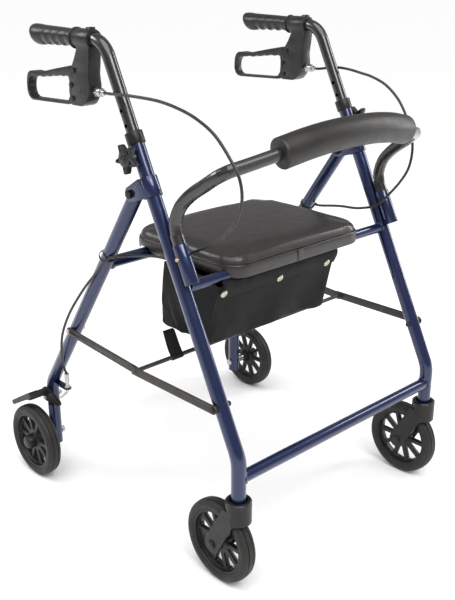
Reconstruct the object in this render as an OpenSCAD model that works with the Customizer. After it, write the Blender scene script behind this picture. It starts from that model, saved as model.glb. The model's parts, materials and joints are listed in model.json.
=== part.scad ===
// Folding four-wheeled walker with a padded seat, a bent backrest and two loop brakes.
// X runs across it (+X is the user's left), the casters are at -Y, the user stands at +Y, Z is up.

/* [Frame] */
// Distance from the middle plane to each leg
leg_x = 260; // [256:1:264]
// Outer diameter of the leg tubes
leg_od = 25.4; // [25:0.1:26]
// Wall of the frame tubes
tube_wall = 1.5; // [1.2:0.1:1.5]
// Radius of the bend in each leg, at its middle line
leg_bend_r = 60; // [45:1:70]
// Y of the upright foot of each front leg
front_foot_y = -300.5; // [-304:0.5:-298]
// Height of the bend in each front leg
front_bend_z = 251; // [248:1:256]
// Y of the top end of each front leg
front_top_y = -53.1; // [-58:0.1:-50]
// Height of the top end of each front leg
front_top_z = 747; // [744:1:750]
// Height of the low crossbar between the front legs
low_bar_z = 216; // [206:1:220]
// Height of the bar that carries the front of the seat
seat_bar_z = 513; // [511:1:514]
// Diameter of the seat bar
seat_bar_d = 19; // [18:0.5:20]

/* [Fold] */
// Y of the bolt that the rear frame folds about
hinge_y = -56.4; // [-57:0.1:-56]
// Height of the bolt that the rear frame folds about
hinge_z = 650.5; // [649:0.5:652]
// Y of the upright foot of each rear leg
rear_foot_y = 257.5; // [256:0.5:259]
// Height of the bend in each rear leg
rear_bend_z = 191.3; // [189:0.1:193]
// Lowest point of the rear legs
rear_foot_z = 53; // [50:1:58]
// Height of the crossbar that the back of the seat rests on
rear_bar_z = 503; // [501:0.5:504]
// Height of the fold links' bolts on the front legs
front_link_z = 333.4; // [332:0.1:335]
// Height of the fold links' bolts on the rear legs
rear_link_z = 341.6; // [340:0.1:343]
// Y of the middle joint of the fold links
knee_y = -54.8; // [-56:0.1:-54]
// Height of the middle joint of the fold links
knee_z = 331; // [330:0.5:332]

/* [Wheels] */
// Diameter of all four wheels
wheel_d = 152; // [150:1:154]
// Width of the tyres
tyre_w = 30; // [28:1:31]
// Radius of the rims
rim_r = 58.5; // [57:0.5:60]
// Distance that the front axles lie behind the caster stems
caster_trail = 43; // [40:1:45]
// Height of the top rim of the caster heads
caster_head_z = 177; // [176:1:180]
// Distance from the middle plane to each rear wheel
rear_wheel_x = 308.2; // [307:0.1:310]

/* [Seat] */
// Width of the seat
seat_w = 350; // [340:1:356]
// Y of the front edge of the seat
seat_front_y = -196; // [-198:1:-194]
// Y of the rear edge of the seat
seat_rear_y = 86; // [80:1:90]
// Height of the top of the seat pad
seat_top_z = 548; // [545:1:550]
// Diameter of the backrest pad
back_pad_d = 51; // [46:1:54]

/* [Handles] */
// Height of the grips
grip_z = 887.5; // [885:0.5:890]
// Outer diameter of the handle tubes
handle_od = 22.2; // [22:0.1:22.2]
// Lowest point of the handle tubes, inside the legs
handle_low_z = 570; // [565:1:580]
// Y of the free end of the grips
grip_end_y = 222; // [215:1:226]
// Y of the pivot of the brake levers
lever_pivot_y = 90; // [89:0.5:91]
// Height of the pivot of the brake levers
lever_pivot_z = 836; // [835:0.5:837]

/* [Hidden] */
$fn = 48;

// Sides of the walker: the user's right is at -X
R = -1;
L = 1;

leg_r = leg_od / 2;
leg_bore_r = leg_r - tube_wall;
handle_r = handle_od / 2;
wheel_r = wheel_d / 2;
// Gap between a turning shaft and its hole
run_gap = 0.05;
// How far a cutting shape passes the face it cuts
past = 2;
low_bar_r = 11;
rear_bar_r = 11;
bolt_r = 4;
link_bolt_r = 3;
link_t = 3;
link_w = 16;
cross_rod_r = 4;
cable_r = 2.5;

// Lean of the front legs, and the Y of their middle line at a height
front_lean = (front_top_y - front_foot_y) / (front_top_z - front_bend_z);
front_tilt = atan(front_lean);
function front_y(z) = z < front_bend_z ? front_foot_y : front_foot_y + front_lean * (z - front_bend_z);
// Lean of the rear legs, and the Y of their middle line at a height
rear_lean = (rear_foot_y - hinge_y) / (hinge_z - rear_bend_z);
rear_tilt = atan(rear_lean);
function rear_y(z) = z < rear_bend_z ? rear_foot_y : hinge_y + rear_lean * (hinge_z - z);

front_route = [[front_foot_y, caster_head_z - 8], [front_foot_y, front_bend_z], [front_top_y, front_top_z]];
rear_end = 13;
rear_route = [
    [hinge_y - rear_end * sin(rear_tilt), hinge_z + rear_end * cos(rear_tilt)],
    [rear_foot_y, rear_bend_z],
    [rear_foot_y, rear_foot_z]];
handle_bend_r = 45;
handle_end_y = grip_end_y - 9;
handle_route = [[front_y(handle_low_z), handle_low_z], [front_y(grip_z), grip_z], [handle_end_y, grip_z]];
front_axle_y = front_foot_y + caster_trail;

// ---------- helpers ----------

module on_side(side) {
    if (side < 0)
        mirror([1, 0, 0]) children();
    else
        children();
}

module on_both_sides() {
    for (side = [R, L])
        on_side(side) children();
}

// Round bar along X from x0 to x1 at a place given as [y, z]
module bar_x(r, x0, x1, at) {
    translate([x0, at[0], at[1]]) rotate([0, 90, 0]) cylinder(r = r, h = x1 - x0);
}

// Plate with an outline of [y, z] points, from x0 to x1
module plate_x(x0, x1) {
    translate([x0, 0, 0]) rotate([90, 0, 90]) linear_extrude(x1 - x0) children();
}

function unit(v) = v / norm(v);
function heading(a, b) = atan2(b[1] - a[1], b[0] - a[0]);
function turn(p, i) = i <= 0 || i >= len(p) - 1 ? 0
    : (heading(p[i], p[i + 1]) - heading(p[i - 1], p[i]) + 540) % 360 - 180;
function cut_back(p, i, bend) = bend * tan(abs(turn(p, i)) / 2);

// The same route with both ends moved out by d
function longer(p, d) = [for (i = [0 : len(p) - 1])
    i == 0 ? p[0] - d * unit(p[1] - p[0])
    : i == len(p) - 1 ? p[i] + d * unit(p[i] - p[i - 1])
    : p[i]];

// Bent round bar along a route of [y, z] points at X = 0, with arc bends. A bend is a little fuller than the
// straight bar, and the straight bar reaches a little into it.
bend_swell = 0.2;
bend_lap = 1;

module bent_bar(p, r, bend) {
    last = len(p) - 1;
    rotate([90, 0, 90]) {
        for (i = [0 : last - 1]) {
            way = unit(p[i + 1] - p[i]);
            start = p[i] + way * (i > 0 ? cut_back(p, i, bend) - bend_lap : 0);
            end = p[i + 1] - way * (i + 1 < last ? cut_back(p, i + 1, bend) - bend_lap : 0);
            translate([start[0], start[1], 0]) rotate([0, 90, heading(p[i], p[i + 1])])
                cylinder(r = r, h = norm(end - start));
        }
        for (i = [1 : 1 : last - 1]) {
            into = heading(p[i - 1], p[i]);
            sweep = turn(p, i);
            start = p[i] - unit(p[i] - p[i - 1]) * cut_back(p, i, bend);
            centre = start + sign(sweep) * bend * [-sin(into), cos(into)];
            translate([centre[0], centre[1], 0])
                rotate([0, 0, sweep > 0 ? into - 90 : into + 90 + sweep])
                    rotate_extrude(angle = abs(sweep), $fn = 96) translate([bend, 0]) circle(r = r + bend_swell);
        }
    }
}

// Smooth curve through points, with n steps between each two
function spline(p, n) = concat([for (i = [0 : len(p) - 2], k = [0 : n - 1])
    let (t = k / n, a = p[max(i - 1, 0)], b = p[i], c = p[i + 1], d = p[min(i + 2, len(p) - 1)])
    0.5 * (2 * b + (c - a) * t + (2 * a - 5 * b + 4 * c - d) * t * t + (3 * b - a - 3 * c + d) * t * t * t)],
    [p[len(p) - 1]]);
function tangent(p, i) = unit(p[min(i + 1, len(p) - 1)] - p[max(i - 1, 0)]);
// Side directions carried along a curve without twist
function sides_along(p, i, side) = i == len(p) ? []
    : let (t = tangent(p, i), s = unit(side - (side * t) * t)) concat([s], sides_along(p, i + 1, s));

// Round tube swept along a curve of [x, y, z] points
module swept(p, r, n) {
    side = sides_along(p, 0, [0.31, 0.52, 0.79]);
    points = [for (i = [0 : len(p) - 1], k = [0 : n - 1])
        let (a = 360 * k / n) p[i] + r * (cos(a) * side[i] + sin(a) * cross(tangent(p, i), side[i]))];
    last = (len(p) - 1) * n;
    walls = [for (i = [0 : len(p) - 2], k = [0 : n - 1])
        let (a = i * n + k, b = i * n + (k + 1) % n) each [[a, a + n, b], [b, a + n, b + n]]];
    polyhedron(points, concat(walls, [[for (k = [0 : n - 1]) k]], [[for (k = [n - 1 : -1 : 0]) last + k]]));
}

// Turned part on an axle: outline of [radius, x] points about a line along X through [y, z]
module turned_x(outline, at) {
    translate([0, at[0], at[1]]) rotate([0, 90, 0]) rotate_extrude($fn = 72) polygon(outline);
}

// Frame that follows the front leg: origin on its middle line at height z, Z up along the leg
module on_front_leg(z) {
    translate([leg_x, front_y(z), z]) rotate([-front_tilt, 0, 0]) children();
}

// ---------- front frame ----------

module front_leg(side) {
    color("navy") on_side(side) difference() {
        translate([leg_x, 0, 0]) bent_bar(front_route, leg_r, leg_bend_r);
        translate([leg_x, 0, 0]) bent_bar(longer(front_route, past), leg_bore_r, leg_bend_r);
        bar_x(link_bolt_r + run_gap, leg_x - leg_od, leg_x + leg_od, [front_y(front_link_z), front_link_z]);
        bar_x(knob_bolt_r + run_gap, leg_x, leg_x + leg_od, knob_at);
    }
}

module front_crossbar() {
    at = [front_foot_y, low_bar_z];
    color("navy") difference() {
        bar_x(low_bar_r, -leg_x, leg_x, at);
        bar_x(low_bar_r - tube_wall, -leg_x - past, leg_x + past, at);
        on_both_sides() translate([leg_x, front_foot_y, low_bar_z - 30]) cylinder(r = leg_r, h = 60);
    }
}

module seat_bar() {
    at = [front_y(seat_bar_z), seat_bar_z];
    color("navy") difference() {
        bar_x(seat_bar_d / 2, -leg_x, leg_x, at);
        bar_x(seat_bar_d / 2 - tube_wall, -leg_x - past, leg_x + past, at);
        on_both_sides() on_front_leg(seat_bar_z) translate([0, 0, -30]) cylinder(r = leg_r, h = 60);
    }
}

// Sleeves that hold the backrest tube, welded in front of the legs
sleeve_z = 514;
sleeve_len = 66;
sleeve_gap = 0.3;
sleeve_off = leg_od + sleeve_gap;
snap_up = 44;
snap_r = 3.5;

module backrest_sleeves() {
    color("navy") on_both_sides() on_front_leg(sleeve_z) difference() {
        union() {
            translate([0, -sleeve_off, 0]) cylinder(r = leg_r, h = sleeve_len);
            for (up = [4, sleeve_len - 22])
                translate([-5, -sleeve_off, up]) cube([10, sleeve_off, 18]);
        }
        translate([0, 0, -past]) cylinder(r = leg_r, h = sleeve_len + 2 * past);
        translate([0, -sleeve_off, -past]) cylinder(r = leg_bore_r, h = sleeve_len + 2 * past);
        translate([0, -sleeve_off, snap_up]) rotate([0, 90, 0]) cylinder(r = snap_r + run_gap, h = leg_od);
    }
}

module snap_button(side) {
    tube_in_r = leg_bore_r - run_gap - tube_wall;
    color("gold") on_side(side) on_front_leg(sleeve_z) translate([0, -sleeve_off, snap_up])
        rotate([0, 90, 0]) {
            translate([0, 0, tube_in_r - 6]) cylinder(r = snap_r, h = leg_r + 1.5 - tube_in_r + 6);
            translate([0, 0, leg_r + 1.5]) intersection() {
                sphere(r = snap_r);
                translate([-5, -5, 0]) cube([10, 10, 5]);
            }
        }
}

// Folding hinge: a sleeve round the leg with two cheeks that reach back to the hinge bolt
hinge_sleeve_r = leg_r + 3;
cheek_in = leg_r + 0.4;
cheek_out = cheek_in + 2.8;
hinge_up_z = 681;
hinge_len = 33;

module hinge_brackets() {
    low = hinge_up_z - hinge_len * cos(front_tilt);
    color("navy") on_both_sides() difference() {
        union() {
            on_front_leg(low) cylinder(r = hinge_sleeve_r, h = hinge_len);
            for (x = [leg_x - cheek_out, leg_x + cheek_in]) plate_x(x, x + cheek_out - cheek_in) {
                polygon([
                    [front_y(low) - 2, low],
                    [front_y(hinge_up_z) - 2, hinge_up_z],
                    [front_y(hinge_up_z) + 8, hinge_up_z - 2],
                    [hinge_y + 6, hinge_z + 11],
                    [hinge_y - 4, hinge_z - 12]]);
                translate([hinge_y, hinge_z]) circle(r = 12.6);
            }
        }
        on_front_leg(low) translate([0, 0, -10]) cylinder(r = leg_r, h = hinge_len + 20);
        bar_x(bolt_r + run_gap, leg_x - leg_od, leg_x + leg_od, [hinge_y, hinge_z]);
    }
}

// Bolt along X with a hexagon head on the outside and a domed nut on the inside
module cross_bolt(r, x_in, x_out, at, head_r, head_t) {
    bar_x(r, x_in, x_out, at);
    translate([x_out, at[0], at[1]]) rotate([0, 90, 0]) cylinder(r = head_r, h = head_t, $fn = 6);
    translate([x_in - head_t, at[0], at[1]]) rotate([0, 90, 0]) cylinder(r = head_r, h = head_t, $fn = 6);
    translate([x_in - head_t, at[0], at[1]]) rotate([0, -90, 0])
        intersection() {
            sphere(r = head_r * 0.8);
            cylinder(r = head_r, h = head_r);
        }
}

// The links lie outside the legs: the rear ones next to them, the front ones over those
rear_link_in = leg_x + leg_r + 0.5;
rear_link_out = rear_link_in + link_t;
front_link_in = rear_link_out + 0.4;
front_link_out = front_link_in + link_t;

module frame_bolts() {
    link_at = [front_y(front_link_z), front_link_z];
    color("dimgray") on_both_sides() {
        cross_bolt(bolt_r, leg_x - cheek_out, leg_x + cheek_out, [hinge_y, hinge_z], 7.5, 4.5);
        cross_bolt(link_bolt_r, leg_x - leg_r, front_link_out + 0.2, link_at, 5.5, 3.5);
        difference() {
            bar_x(7, leg_x, front_link_in - 0.2, link_at);
            bar_x(link_bolt_r, leg_x - past, front_link_in + past, link_at);
            on_front_leg(front_link_z) translate([0, 0, -20]) cylinder(r = leg_r, h = 40);
        }
    }
}

module leg_collars() {
    color("black") on_both_sides() on_front_leg(front_top_z) difference() {
        translate([0, 0, -18]) cylinder(r = leg_r + 2.4, h = 20.4);
        translate([0, 0, -18 - past]) cylinder(r = leg_r, h = 18 + past);
        cylinder(r = handle_r + 0.1, h = 10);
    }
}

// ---------- backrest ----------

// Middle line of the backrest tube from its bend in front of the left leg to the middle
back_half = [
    [260, -153, 616], [259.5, -154.6, 626], [258.5, -158.5, 637], [257, -165.5, 649.5],
    [255, -177, 662], [252.5, -192, 674.5], [249, -212, 688], [245, -232, 702], [234, -249, 713],
    [212, -259, 719], [184, -269, 726], [150, -279, 734], [106, -287, 743], [56, -292, 749], [0, -294, 751]];
back_mid = len(back_half) - 1;
back_line = [for (i = [0 : 2 * back_mid]) i <= back_mid ? back_half[i]
    : let (p = back_half[2 * back_mid - i]) [-p[0], p[1], p[2]]];

module backrest_tube() {
    tube_r = leg_bore_r - run_gap;
    up = sleeve_len + 8;
    color("black") union() {
        on_both_sides() on_front_leg(sleeve_z) translate([0, -sleeve_off, 0]) difference() {
            translate([0, 0, 10]) cylinder(r = tube_r, h = up);
            translate([0, 0, 10 - past]) cylinder(r = tube_r - tube_wall, h = up - 14);
            translate([0, 0, snap_up]) rotate([0, 90, 0]) cylinder(r = snap_r + run_gap, h = leg_od);
        }
        swept(spline(concat([back_low(L)], back_line, [back_low(R)]), 3), tube_r - 0.3, 20);
    }
}

// Point inside the straight foot of the backrest tube, where the swept part starts
function back_low(side) = let (up = sleeve_len + 14)
    [side * leg_x,
     front_y(sleeve_z) - sleeve_off * cos(front_tilt) + up * sin(front_tilt),
     sleeve_z + sleeve_off * sin(front_tilt) + up * cos(front_tilt)];

module backrest_pad() {
    pad_half = 160;
    line = spline([for (p = back_line) if (abs(p[0]) < pad_half) p], 2);
    color("black") swept(line, back_pad_d / 2, 24);
}

// ---------- casters ----------

fork_r = 22.5;
fork_gap_w = tyre_w + 4;
stem_r = 6;
cup_z = caster_head_z - 10;
stem_low_z = 145;

module caster_stems() {
    color("silver") on_both_sides() translate([leg_x, front_foot_y, 0]) {
        translate([0, 0, cup_z + 0.6]) cylinder(r = leg_bore_r - run_gap, h = 30);
        translate([0, 0, stem_low_z]) cylinder(r = stem_r, h = cup_z + 5 - stem_low_z);
        translate([0, 0, stem_low_z]) cylinder(r = 9, h = 6);
    }
}

module caster_fork(side) {
    wheel_at = [front_axle_y, wheel_r];
    color("dimgray") on_side(side) difference() {
        union() {
            translate([leg_x, front_foot_y, 136]) cylinder(r = fork_r, h = caster_head_z - 2 - 136);
            translate([leg_x, front_foot_y, caster_head_z - 2])
                cylinder(r1 = fork_r, r2 = fork_r - 2, h = 2);
            plate_x(leg_x - fork_r, leg_x + fork_r) {
                translate(wheel_at) circle(r = 17);
                polygon([
                    [front_axle_y - 16.2, wheel_r - 5.2], [front_foot_y - 6, 132], [front_foot_y, 160],
                    [front_foot_y + 16, 160], [front_axle_y + 15.5, wheel_r + 7]]);
            }
        }
        translate([leg_x, front_foot_y, stem_low_z - 30]) cylinder(r = stem_r + run_gap, h = 100);
        translate([leg_x, front_foot_y, cup_z]) cylinder(r = leg_r + 3, h = 40);
        translate([leg_x, front_foot_y, 100]) cylinder(r = 10, h = stem_low_z + 6.6 - 100);
        bar_x(wheel_r + 3.5, leg_x - fork_gap_w / 2, leg_x + fork_gap_w / 2, wheel_at);
        bar_x(bolt_r, leg_x - leg_od, leg_x + leg_od, wheel_at);
    }
}

module front_axle(side) {
    color("dimgray") on_side(side)
        difference() {
            turned_x([
                [0, leg_x - 26.5], [6, leg_x - 26.5], [8, leg_x - 24.5], [8, leg_x - 22.5],
                [bolt_r, leg_x - 22.5], [bolt_r, leg_x + 22.5], [8, leg_x + 22.5], [8, leg_x + 24.5],
                [6, leg_x + 26.5], [0, leg_x + 26.5]], [front_axle_y, wheel_r]);
        }
}

// ---------- wheels ----------

module tyre(x, at) {
    half = tyre_w / 2;
    color("black") turned_x([
        [rim_r, x - half + 3], [rim_r + 2, x - half + 1.5], [wheel_r - 9, x - half],
        [wheel_r - 5, x - half + 1], [wheel_r - 4.6, x - half + 2.4], [wheel_r - 2, x - half + 4],
        [wheel_r - 0.4, x - half + 8], [wheel_r, x], [wheel_r - 0.4, x + half - 8],
        [wheel_r - 2, x + half - 4], [wheel_r - 4.6, x + half - 2.4], [wheel_r - 5, x + half - 1],
        [wheel_r - 9, x + half], [rim_r + 2, x + half - 1.5], [rim_r, x + half - 3]], at);
}

spokes = 10;

// Rim with a web of ten windows; the hub reaches hub_in and hub_out from the wheel's middle plane
module rim(x, at, hub_in, hub_out) {
    web = 4.5;
    color("dimgray") difference() {
        turned_x([
            [bolt_r + run_gap, x - hub_in], [11, x - hub_in], [14, x - web - 2], [18, x - web],
            [53, x - web], [55, x - 12], [rim_r, x - 12], [rim_r, x + 12], [55, x + 12],
            [53, x + web], [18, x + web], [14, x + web + 2], [11, x + hub_out],
            [bolt_r + run_gap, x + hub_out]], at);
        for (i = [0 : spokes - 1]) translate([x, at[0], at[1]]) rotate([i * 360 / spokes, 0, 0])
            plate_x(-web - 3, web + 3) polygon([[-3, 23], [3, 23], [11.5, 48], [9, 51.5], [-9, 51.5], [-11.5, 48]]);
    }
}

module front_tyre(side) on_side(side) tyre(leg_x, [front_axle_y, wheel_r]);
module front_rim(side) on_side(side) rim(leg_x, [front_axle_y, wheel_r], 16, 16);

rear_axle_out = rear_wheel_x + 16;

module rear_tyre(side) on_side(side) tyre(rear_wheel_x, [rear_foot_y, wheel_r]);

module rear_rim(side) {
    at = [rear_foot_y, wheel_r];
    cap_x = rear_wheel_x + 14;
    color("dimgray") on_side(side) {
        rim(rear_wheel_x, at, 17, 12);
        turned_x([
            [12.2, rear_wheel_x + 4.6], [14.5, rear_wheel_x + 4.6], [14.5, cap_x], [13, cap_x + 8],
            [10, cap_x + 10.5], [0, cap_x + 11.5], [0, cap_x + 8], [12.2, cap_x + 6]], at);
    }
}

// ---------- rear frame ----------

arm_pivot = [rear_foot_y - 1, 164];
arm_x0 = leg_x + leg_r + 0.8;
arm_x1 = arm_x0 + 5;

module rear_leg(side) {
    color("navy") on_side(side) difference() {
        translate([leg_x, 0, 0]) bent_bar(rear_route, leg_r, leg_bend_r);
        translate([leg_x, 0, 0]) bent_bar(longer(rear_route, past), leg_bore_r, leg_bend_r);
        bar_x(bolt_r + run_gap, leg_x - leg_od, leg_x + leg_od, [hinge_y, hinge_z]);
        bar_x(bolt_r, leg_x - leg_od, leg_x + leg_od, [rear_foot_y, wheel_r]);
        bar_x(link_bolt_r, leg_x - leg_od, leg_x + leg_od, [rear_y(rear_link_z), rear_link_z]);
        bar_x(link_bolt_r, leg_x - leg_od, leg_x + leg_od, arm_pivot);
    }
}

module on_rear_leg(z) {
    translate([leg_x, rear_y(z), z]) rotate([rear_tilt, 0, 0]) children();
}

module rear_crossbar() {
    at = [rear_y(rear_bar_z), rear_bar_z];
    color("navy") difference() {
        bar_x(rear_bar_r, -leg_x, leg_x, at);
        bar_x(rear_bar_r - tube_wall, -leg_x - past, leg_x + past, at);
        on_both_sides() on_rear_leg(rear_bar_z) translate([0, 0, -30]) cylinder(r = leg_r, h = 60);
    }
}

// Plate in front of each rear leg that the brake cable's adjuster is screwed into
stop_y = 200;
stop_z = 200;
stop_t = 3;
thread_r = 3.5;

module cable_stops() {
    color("navy") on_both_sides() difference() {
        union() {
            translate([leg_x - 8, stop_y, stop_z - stop_t]) cube([16, rear_foot_y - stop_y - 8, stop_t]);
            translate([leg_x, stop_y, stop_z - stop_t]) cylinder(r = 8, h = stop_t);
        }
        translate([leg_x, 0, 0]) bent_bar(rear_route, leg_r, leg_bend_r);
        translate([leg_x, stop_y, stop_z - 10]) cylinder(r = thread_r, h = 20);
    }
}

low_adjuster_top = 231;

module cable_adjusters_low() {
    color("silver") on_both_sides() translate([leg_x, stop_y, 0]) difference() {
        union() {
            translate([0, 0, stop_z - stop_t - 4]) cylinder(r = thread_r, h = 34);
            translate([0, 0, stop_z]) cylinder(r = 6, h = 4, $fn = 6);
            translate([0, 0, stop_z + 14]) cylinder(r = 5, h = low_adjuster_top - stop_z - 14);
        }
        translate([0, 0, stop_z - 20]) cylinder(r = 1.2, h = 60);
    }
}

spring_end = [214, 173];

module brake_springs() {
    color("silver") on_both_sides()
        swept([[leg_x, stop_y, stop_z - stop_t - 6], [leg_x + 3, 202, 187], [leg_x + 8, 207, 181],
            [leg_x + 11, spring_end[0] - 3, spring_end[1] + 3]], 3.2, 12);
}

// Rocking arm on the outside of the leg with a shoe bar over the tyre
module brake_arm(side) {
    color("black") on_side(side) difference() {
        union() {
            plate_x(arm_x0, arm_x1) {
                translate(arm_pivot) circle(r = 9);
                translate([212, 165]) circle(r = 6);
                polygon([[212, 159], [arm_pivot[0], arm_pivot[1] - 9], [arm_pivot[0] + 8.5, arm_pivot[1] - 3],
                    [276, 172], [264, 184], [246, 184], [212, 171]]);
            }
            plate_x(arm_x0, rear_wheel_x + 12) polygon([[248, 173], [268, 168], [270, 174], [256, 186], [248, 184]]);
            plate_x(rear_wheel_x - 12, rear_wheel_x + 12) {
                polygon([[250, 175], [268, 166], [316, 138.5], [321, 147.5], [262, 183.5], [250, 185]]);
                translate([318.5, 143]) circle(r = 5.1);
            }
        }
        bar_x(link_bolt_r + run_gap, arm_x0 - past, arm_x1 + past, arm_pivot);
    }
}

module rear_bolts() {
    link_at = [rear_y(rear_link_z), rear_link_z];
    axle_at = [rear_foot_y, wheel_r];
    color("silver") on_both_sides() {
        cross_bolt(link_bolt_r, leg_x - leg_r, rear_link_out + 0.2, link_at, 5.5, 3.5);
        cross_bolt(link_bolt_r, leg_x - leg_r, arm_x1 + 0.3, arm_pivot, 5.5, 3.5);
        bar_x(bolt_r, leg_x - leg_r - 1, rear_axle_out, axle_at);
        translate([leg_x - leg_r - 6, rear_foot_y, wheel_r]) rotate([0, 90, 0]) cylinder(r = 7.5, h = 6, $fn = 6);
        bar_x(6, rear_wheel_x + 12.5, rear_axle_out, axle_at);
        difference() {
            bar_x(8, leg_x, rear_wheel_x - 17.5, axle_at);
            bar_x(bolt_r, leg_x - past, rear_wheel_x, axle_at);
            translate([leg_x, rear_foot_y, wheel_r - 20]) cylinder(r = leg_r, h = 40);
        }
    }
}

// ---------- fold links ----------

knee = [knee_y, knee_z];

// Flat bar between two points of [y, z], with round ends
module link_bar(x0, a, b, over_b) {
    way = unit(b - a);
    across = [-way[1], way[0]] * link_w / 2;
    far = b + way * over_b;
    plate_x(x0, x0 + link_t) {
        translate(a) circle(r = link_w / 2);
        polygon([a - across, far - across, far + across, a + across]);
        if (over_b == 0)
            translate(b) circle(r = link_w / 2);
    }
}

module front_links() {
    a = [front_y(front_link_z), front_link_z];
    color("dimgray") on_both_sides() {
        difference() {
            link_bar(front_link_in, a, knee, 9);
            bar_x(link_bolt_r + run_gap, front_link_in - past, front_link_out + past, a);
        }
        translate([front_link_out, knee_y, knee_z]) rotate([0, 90, 0]) cylinder(r1 = 6, r2 = 4, h = 3);
    }
}

module rear_links() {
    a = [rear_y(rear_link_z), rear_link_z];
    color("dimgray") on_both_sides() difference() {
        link_bar(rear_link_in, a, knee, 0);
        bar_x(link_bolt_r + run_gap, rear_link_in - past, rear_link_out + past, a);
    }
}

module cross_rod() {
    color("dimgray") bar_x(cross_rod_r, -rear_link_in, rear_link_in, knee);
}

strap_x = -182;
strap_w = 25;

// Webbing loop round the cross rod, with its tail rising towards the bag
module lift_strap() {
    loop_r = cross_rod_r + 0.3;
    strap_t = 1.8;
    x0 = strap_x - strap_w / 2;
    x1 = strap_x + strap_w / 2;
    color("black") difference() {
        union() {
            bar_x(loop_r + strap_t, x0, x1, knee);
            plate_x(x0, x1) polygon([knee + [0, 5.5], knee + [14, 31], knee + [18, 29], knee + [5.5, 0]]);
        }
        bar_x(loop_r, x0 - past, x1 + past, knee);
    }
}

// ---------- seat ----------

board_z = 523;
board_t = 10;
rim_low_z = 509;
clip_x = 120;

module seat_board() {
    in = 4;
    w = seat_w - 2 * in;
    d = seat_rear_y - seat_front_y - 2 * in;
    color("black") difference() {
        translate([-w / 2, seat_front_y + in, rim_low_z]) cube([w, d, board_z + board_t - rim_low_z]);
        translate([-w / 2 + 4, seat_front_y + in + 4, rim_low_z - past])
            cube([w - 8, d - 8, board_z - rim_low_z + past]);
        translate([-w / 2 - past, rear_y(rear_bar_z) - 22, rim_low_z - past])
            cube([w + 2 * past, 38, rear_bar_z + rear_bar_r + 2 - rim_low_z + past]);
        bar_x(seat_bar_d / 2 + 4, -w / 2 - past, w / 2 + past, [front_y(seat_bar_z), seat_bar_z]);
        translate([-w / 2 - past, front_y(seat_bar_z) - 16, rim_low_z - past]) cube([w + 2 * past, 32, 6]);
    }
}

module seat_pad() {
    color("black") hull() for (x = [-1, 1], y = [seat_front_y + 22, seat_rear_y - 22])
        translate([x * (seat_w / 2 - 22), y, board_z + board_t]) {
            cylinder(r = 22, h = 6, $fn = 32);
            cylinder(r = 16, h = seat_top_z - board_z - board_t, $fn = 32);
        }
}

module seat_clips() {
    at = [front_y(seat_bar_z), seat_bar_z];
    color("black") for (x = [-clip_x, clip_x]) difference() {
        union() {
            bar_x(seat_bar_d / 2 + 3.4, x - 14, x + 14, at);
            translate([x - 14, at[0] - 10, at[1]]) cube([28, 20, board_z - at[1]]);
        }
        bar_x(seat_bar_d / 2 + run_gap, x - 20, x + 20, at);
        translate([x - 20, at[0] - 7, at[1] - 20]) cube([40, 14, 16]);
    }
}

// ---------- bag ----------

bag_x0 = -192;
bag_x1 = 122;
bag_top_z = 504;
bag_low_z = 370;
bag_front_top_y = -186;
bag_front_low_y = -138;
bag_rear_top_y = 28;
bag_rear_low_y = 8;
cloth_t = 3;

// Cloth bag under the seat, open at the top
module under_seat_bag() {
    t = cloth_t;
    color("black") difference() {
        plate_x(bag_x0, bag_x1) polygon([
            [bag_front_low_y, bag_low_z], [bag_rear_low_y, bag_low_z], [bag_rear_top_y, bag_top_z - 2],
            [bag_front_top_y + 30, bag_top_z - 2], [bag_front_top_y + 30, bag_top_z - 6],
            [bag_front_top_y, bag_top_z - 6]]);
        plate_x(bag_x0 + t, bag_x1 - t) polygon([
            [bag_front_low_y + t, bag_low_z + t], [bag_rear_low_y - t, bag_low_z + t],
            [bag_rear_top_y - t, bag_top_z + t], [bag_front_top_y + t, bag_top_z + t]]);
    }
}

// ---------- handles ----------

knob_z = 713;
knob_at = [front_y(knob_z), knob_z];
knob_bolt_r = 3;
hole_pitch = 25.4;
top_hole_z = 782;

module handle_tube(side) {
    pitch_z = hole_pitch * cos(front_tilt);
    color("black") on_side(side) difference() {
        translate([leg_x, 0, 0]) bent_bar(handle_route, handle_r, handle_bend_r);
        translate([leg_x, 0, 0]) bent_bar(longer(handle_route, past), handle_r - 1.4, handle_bend_r);
        for (i = [0 : 5]) bar_x(3.6, leg_x - leg_od, leg_x + leg_od,
            [front_y(top_hole_z - i * pitch_z), top_hole_z - i * pitch_z]);
    }
}

clamp_y0 = 44;
clamp_y1 = 91;
grip_y0 = clamp_y1;

// Turned part on a handle: outline of [radius, distance along the grip]
module turned_grip(outline) {
    translate([leg_x, 0, grip_z]) rotate([-90, 0, 0]) rotate_extrude($fn = 64) polygon(outline);
}

module grip(side) {
    hump_y = [for (k = [0 : 24]) 112 + k * 3];
    color("dimgray") on_side(side) turned_grip(concat(
        [[handle_r, grip_y0], [18.5, grip_y0], [18.5, grip_y0 + 3], [15.4, grip_y0 + 6], [15, 108]],
        [for (y = hump_y) [15.6 - 0.9 * cos((y - 112) * 20) + (y - 112) / 80, y]],
        [[17, 192], [16.4, 200], [14.6, 210], [12, grip_end_y - 3], [10, grip_end_y],
            [0, grip_end_y], [0, handle_end_y], [handle_r, handle_end_y]]));
}

housing_half = 12.5;
slot_half = 9.6;
lever_half = 9;
screws = [[lever_pivot_y, lever_pivot_z], [100, 811], [97, 789]];
cable_z = 804;

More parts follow.
